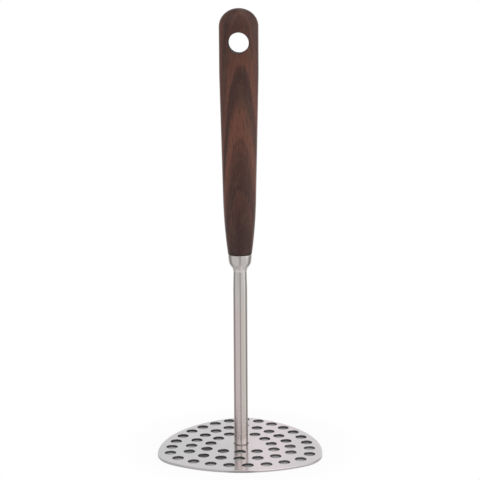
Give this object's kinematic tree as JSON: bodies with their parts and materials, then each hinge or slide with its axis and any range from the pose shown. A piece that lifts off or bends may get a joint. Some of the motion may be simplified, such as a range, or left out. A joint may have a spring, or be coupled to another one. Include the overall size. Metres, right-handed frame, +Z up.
{
  "type": "potato masher",
  "caption": "Hand masher with a flat perforated steel plate, a slim tubular stem, a small ferrule and an oval wooden handle with a hanging hole.",
  "frame": {"origin": "centre of the stem on the plate's underside, the face that the masher stands on", "axes": "+Z up along the stem and handle, -Y towards the plate's flatter front edge and along the hanging hole, X across the plate and the handle's wider face"},
  "size_m": [0.0996, 0.0955, 0.266],
  "materials": {
    "plate_steel": "bright satin, soft reflections",
    "stem_steel": "polished satin, drawn along the stem",
    "ferrule_steel": "fine turned satin",
    "weld_steel": "dressed weld",
    "inner_steel": "as turned",
    "dark_wood": "oiled, low sheen, grain along the handle"
  },
  "bodies": {
    "root": {"masher_plate": "plate_steel", "foot_plug": "inner_steel", "foot_weld": "weld_steel", "stem_tube": "stem_steel", "stem_top_plug": "inner_steel", "neck_weld": "weld_steel", "ferrule": "ferrule_steel", "tang": "inner_steel", "wood_handle": "dark_wood"}
  },
  "joints": []
}
